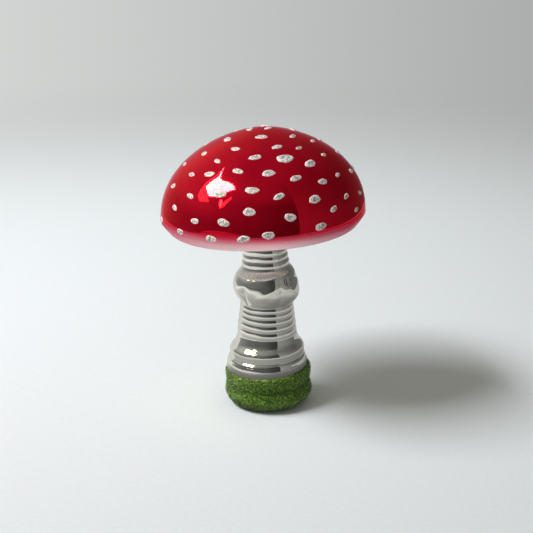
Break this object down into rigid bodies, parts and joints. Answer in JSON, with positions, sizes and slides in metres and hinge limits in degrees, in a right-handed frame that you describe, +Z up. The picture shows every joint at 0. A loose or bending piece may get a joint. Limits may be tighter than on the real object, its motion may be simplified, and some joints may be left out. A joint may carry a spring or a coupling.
{
  "type": "glass mushroom ornament",
  "caption": "Free-standing blown glass toadstool ornament: mirrored red domed cap with raised white glitter dabs on a ringed silver stem with a green flocked foot.",
  "frame": {"origin": "on the stem's axis, at the flat underside of the flocked foot that the ornament stands on", "axes": "+Z up along the foot and lower stem, -Y towards the front; the neck and cap lean towards -X"},
  "size_m": [0.1199, 0.1209, 0.17],
  "materials": {
    "red_mirror_glass": "mirrored inside, transparent red lacquer outside, fading to white at the rim",
    "silver_mirror_glass": "silvered blown glass, polished",
    "green_flock": "coarse flock fibres on adhesive",
    "white_glitter": "white glitter in adhesive, raised and grainy",
    "clear_glue": "cured clear adhesive"
  },
  "bodies": {
    "root": {"cap_shell": "red_mirror_glass", "stem_shell": "silver_mirror_glass", "joint_glue": "clear_glue", "moss_base": "green_flock", "dab_01": "white_glitter", "dab_02": "white_glitter", "dab_03": "white_glitter", "dab_04": "white_glitter", "dab_05": "white_glitter", "dab_06": "white_glitter", "dab_07": "white_glitter", "dab_08": "white_glitter", "dab_09": "white_glitter", "dab_10": "white_glitter", "dab_11": "white_glitter", "dab_12": "white_glitter", "dab_13": "white_glitter", "dab_14": "white_glitter", "dab_15": "white_glitter", "dab_16": "white_glitter", "dab_17": "white_glitter", "dab_18": "white_glitter", "dab_19": "white_glitter", "dab_20": "white_glitter", "dab_21": "white_glitter", "dab_22": "white_glitter", "dab_23": "white_glitter", "dab_24": "white_glitter", "dab_25": "white_glitter", "dab_26": "white_glitter", "dab_27": "white_glitter", "dab_28": "white_glitter", "dab_29": "white_glitter", "dab_30": "white_glitter", "dab_31": "white_glitter", "dab_32": "white_glitter", "dab_33": "white_glitter", "dab_34": "white_glitter", "dab_35": "white_glitter", "dab_36": "white_glitter", "dab_37": "white_glitter", "dab_38": "white_glitter", "dab_39": "white_glitter", "dab_40": "white_glitter", "dab_41": "white_glitter", "dab_42": "white_glitter", "dab_43": "white_glitter", "dab_44": "white_glitter", "dab_45": "white_glitter", "dab_46": "white_glitter", "dab_47": "white_glitter", "dab_48": "white_glitter", "dab_49": "white_glitter", "dab_50": "white_glitter", "dab_51": "white_glitter", "dab_52": "white_glitter", "dab_53": "white_glitter", "dab_54": "white_glitter", "dab_55": "white_glitter", "dab_56": "white_glitter"}
  },
  "joints": []
}
